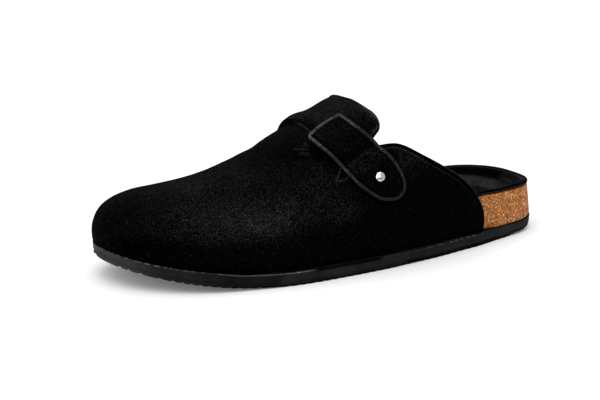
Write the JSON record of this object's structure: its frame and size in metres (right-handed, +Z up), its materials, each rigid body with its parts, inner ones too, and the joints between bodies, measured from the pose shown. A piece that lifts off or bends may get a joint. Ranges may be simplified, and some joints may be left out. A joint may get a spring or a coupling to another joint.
{
  "type": "mule shoe",
  "caption": "Left velvet mule with closed toe and open back, cork footbed, padded instep band, piped strap with a domed rivet and a black rubber outsole.",
  "frame": {"origin": "centre of the bounding box, on the floor", "axes": "+X to the toe, +Y to the lateral side, +Z up"},
  "size_m": [0.2704, 0.099, 0.088],
  "materials": {
    "outsole_rubber": "matt",
    "cork": "speckled cork, sealed",
    "lining": "matt suede lining",
    "velvet": "black velvet",
    "band_velvet": "black velvet",
    "strap_velvet": "black velvet",
    "piping": "dark grey piping",
    "rivet_metal": "polished"
  },
  "bodies": {
    "root": {"outsole": "outsole_rubber", "footbed": "cork", "insole": "lining", "upper": "velvet", "instep_band": "band_velvet", "strap": "strap_velvet", "strap_binding": "piping", "rivet": "rivet_metal"}
  },
  "joints": []
}
